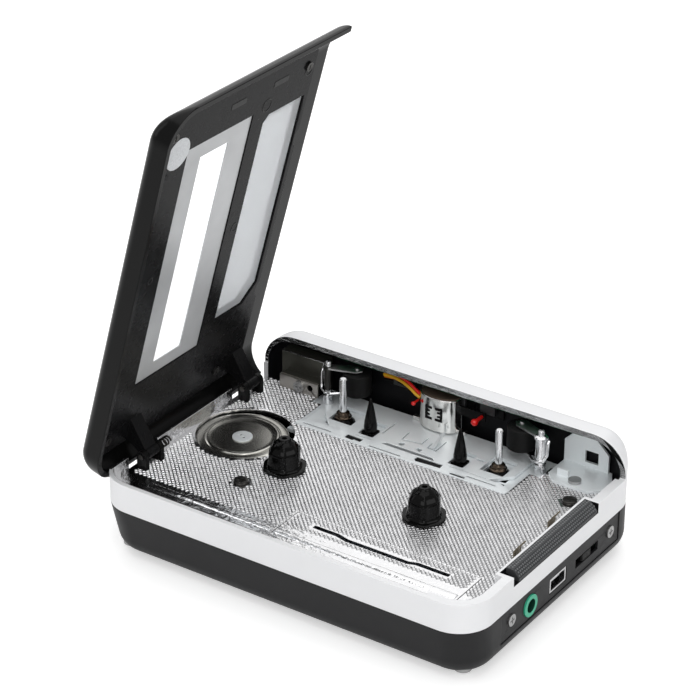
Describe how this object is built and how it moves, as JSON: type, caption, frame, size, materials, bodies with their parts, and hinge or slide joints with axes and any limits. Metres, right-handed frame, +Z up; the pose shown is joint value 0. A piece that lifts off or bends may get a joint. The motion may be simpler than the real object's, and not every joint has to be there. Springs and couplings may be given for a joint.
{
  "type": "usb cassette player",
  "caption": "Portable cassette player and converter with a hinged windowed lid, embossed deck, reel spindles, capstans, tape head and side sockets.",
  "frame": {"origin": "centre of the whole part in plan with the lid open, on the plane under the four rubber feet; the case itself is centred 1.265 mm towards +X and 0.25 mm towards -Y", "axes": "+X from the lid hinge towards the socket side, +Y from the front edge towards the tape head side, +Z up"},
  "size_m": [0.1176, 0.082, 0.126],
  "materials": {
    "black_case": "satin black plastic",
    "silver_band": "light silver lacquer",
    "deck_chrome": "embossed diamond pattern",
    "dark_insert": "fine matt",
    "steel": "bright",
    "spring_steel": "bright",
    "cell_wrap": "plain sleeve",
    "rubber_black": "matt",
    "zinc": "zinc plated sheet",
    "nickel": "nickel plated",
    "gloss_black": "polished black",
    "brass": "turned",
    "head_metal": "polished",
    "wire": "insulation",
    "board": "solder resist",
    "chip": "moulded",
    "jack_ring": "green collar",
    "knob": "ribbed",
    "latch": "textured",
    "button": "satin",
    "lid_black": "polished black outside",
    "lid_inner": "fine matt",
    "clear_window": "clear",
    "trim_silver": "silver print",
    "pale_window": "translucent"
  },
  "bodies": {
    "base": {"bottom_tray": "black_case", "side_band": "silver_band", "deck_plate": "deck_chrome", "port_panel": "dark_insert", "port_screws": "steel", "deck_screws": "steel", "cassette_springs": "spring_steel", "battery_cells": "cell_wrap", "battery_contacts": "steel", "case_screws": "steel", "rubber_feet": "rubber_black", "head_chassis": "zinc", "guide_pins": "gloss_black", "capstan_bushes": "steel", "reel_axles": "steel", "drive_motor": "nickel", "drive_belt": "rubber_black", "pinch_pins": "steel", "left_bracket": "nickel", "right_bracket": "zinc", "bracket_screws": "steel", "main_board": "board", "board_parts": "chip", "usb_socket": "steel", "audio_jack": "jack_ring", "side_switch": "dark_insert", "button_board": "board", "button_switches": "chip", "hinge_ears": "zinc", "hinge_pins": "steel", "lid_spring": "spring_steel"},
    "lid": {"lid_shell": "lid_black", "lid_frame": "lid_inner", "cassette_window": "clear_window", "window_trim": "trim_silver", "head_window": "pale_window", "lid_screws": "steel"},
    "head_slide": {"head_carriage": "zinc", "tape_head": "head_metal", "head_wires": "wire"},
    "latch": {"latch_slider": "latch"},
    "switch": {"switch_knob": "knob"},
    "battery_cover": {"battery_cover": "deck_chrome"},
    "motor_rotor": {"motor_pulley": "brass"},
    "reel_left": {"reel_spindle_left": "gloss_black", "reel_gear_left": "dark_insert"},
    "capstan_drive_left": {"flywheel_left": "brass", "capstan_left": "steel"},
    "pinch_left": {"pinch_arm_left": "zinc"},
    "pinch_wheel_left": {"pinch_roller_left": "rubber_black"},
    "reel_right": {"reel_spindle_right": "gloss_black", "reel_gear_right": "dark_insert"},
    "capstan_drive_right": {"flywheel_right": "brass", "capstan_right": "steel"},
    "pinch_right": {"pinch_arm_right": "zinc"},
    "pinch_wheel_right": {"pinch_roller_right": "rubber_black"},
    "button_1": {"control_button_1": "button"},
    "button_2": {"control_button_2": "button"},
    "button_3": {"control_button_3": "button"},
    "button_4": {"control_button_4": "button"}
  },
  "joints": [
    {"name": "lid_hinge", "type": "hinge", "parent": "base", "child": "lid", "pos_m": [-0.04954, -0.00025, 0.0218], "axis": [0, -1, 0], "range_deg": [-74.5, 0], "stiffness_Nm_per_rad": 0.012, "springref_deg": 40.11},
    {"name": "head_carriage_slide", "type": "slide", "parent": "base", "child": "head_slide", "axis": [0, -1, 0], "range_m": [0, 0.0025]},
    {"name": "latch_slide", "type": "slide", "parent": "base", "child": "latch", "axis": [0, 1, 0], "range_m": [-0.0022, 0], "stiffness_N_per_m": 300, "springref_m": 0.0005},
    {"name": "side_switch_slide", "type": "slide", "parent": "base", "child": "switch", "axis": [0, 1, 0], "range_m": [-0.002, 0.002]},
    {"name": "battery_cover_lift", "type": "slide", "parent": "base", "child": "battery_cover", "axis": [0, 0, 1], "range_m": [0, 0.006]},
    {"name": "reel_spin_left", "type": "hinge", "parent": "base", "child": "reel_left", "pos_m": [-0.01969, -0.00575, 0.02], "axis": [0, 0, 1], "continuous": true},
    {"name": "capstan_spin_left", "type": "hinge", "parent": "base", "child": "capstan_drive_left", "pos_m": [-0.02253, 0.02515, 0.02], "axis": [0, 0, 1], "continuous": true},
    {"name": "pinch_swing_left", "type": "hinge", "parent": "base", "child": "pinch_left", "pos_m": [-0.03143, 0.03115, 0.02], "axis": [0, 0, -1], "range_deg": [0, 29], "stiffness_Nm_per_rad": 0.002, "springref_deg": -5.73},
    {"name": "pinch_roller_spin_left", "type": "hinge", "parent": "pinch_left", "child": "pinch_wheel_left", "pos_m": [-0.02404, 0.03405, 0.024], "axis": [0, 0, 1], "continuous": true},
    {"name": "reel_spin_right", "type": "hinge", "parent": "base", "child": "reel_right", "pos_m": [0.02281, -0.00575, 0.02], "axis": [0, 0, 1], "continuous": true},
    {"name": "capstan_spin_right", "type": "hinge", "parent": "base", "child": "capstan_drive_right", "pos_m": [0.02567, 0.02515, 0.02], "axis": [0, 0, 1], "continuous": true},
    {"name": "pinch_swing_right", "type": "hinge", "parent": "base", "child": "pinch_right", "pos_m": [0.03456, 0.03115, 0.02], "axis": [0, 0, 1], "range_deg": [0, 29], "stiffness_Nm_per_rad": 0.002, "springref_deg": -5.73},
    {"name": "pinch_roller_spin_right", "type": "hinge", "parent": "pinch_right", "child": "pinch_wheel_right", "pos_m": [0.02717, 0.03405, 0.024], "axis": [0, 0, 1], "continuous": true},
    {"name": "motor_spin", "type": "hinge", "parent": "base", "child": "motor_rotor", "pos_m": [-0.03934, 0.00275, 0.006], "axis": [0, 0, 1], "continuous": true},
    {"name": "button_1_press", "type": "slide", "parent": "base", "child": "button_1", "axis": [0, -1, 0], "range_m": [0, 0.00035], "stiffness_N_per_m": 2000, "springref_m": -0.0001},
    {"name": "button_2_press", "type": "slide", "parent": "base", "child": "button_2", "axis": [0, -1, 0], "range_m": [0, 0.00035], "stiffness_N_per_m": 2000, "springref_m": -0.0001},
    {"name": "button_3_press", "type": "slide", "parent": "base", "child": "button_3", "axis": [0, -1, 0], "range_m": [0, 0.00035], "stiffness_N_per_m": 2000, "springref_m": -0.0001},
    {"name": "button_4_press", "type": "slide", "parent": "base", "child": "button_4", "axis": [0, -1, 0], "range_m": [0, 0.00035], "stiffness_N_per_m": 2000, "springref_m": -0.0001}
  ],
  "couplings": [
    {"joint": "motor_spin", "follows": "capstan_spin_right", "ratio": 3.806},
    {"joint": "capstan_spin_left", "follows": "capstan_spin_right", "ratio": -1}
  ]
}
